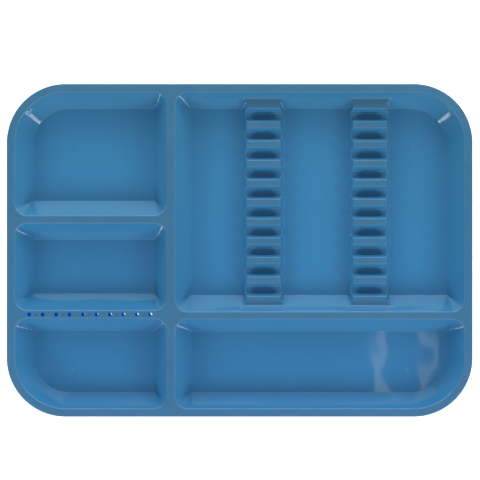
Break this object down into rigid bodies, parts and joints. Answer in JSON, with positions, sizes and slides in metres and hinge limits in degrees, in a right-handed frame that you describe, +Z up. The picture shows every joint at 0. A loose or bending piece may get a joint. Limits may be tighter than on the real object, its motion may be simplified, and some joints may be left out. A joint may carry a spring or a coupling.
{
  "type": "divided instrument set-up tray",
  "caption": "Shallow rounded rectangular moulded tray with sloped compartments, notched instrument racks and a divider drilled with a row of small bur holes.",
  "frame": {"origin": "under the middle of the tray, on the surface that its feet stand on", "axes": "+X along the tray's length, from the three small compartments towards the racks; +Y across the tray, from the long compartment towards the rack compartment; +Z up out of the compartments"},
  "size_m": [0.34, 0.243, 0.0222],
  "materials": {
    "blue_plastic": "glossy moulded, with a slightly satin rim"
  },
  "bodies": {
    "root": {"tray_body": "blue_plastic", "instrument_rack_left": "blue_plastic", "instrument_rack_right": "blue_plastic", "bur_holder": "blue_plastic", "foot_upper_left": "blue_plastic", "foot_upper_right": "blue_plastic", "foot_lower_left": "blue_plastic", "foot_lower_right": "blue_plastic"}
  },
  "joints": []
}
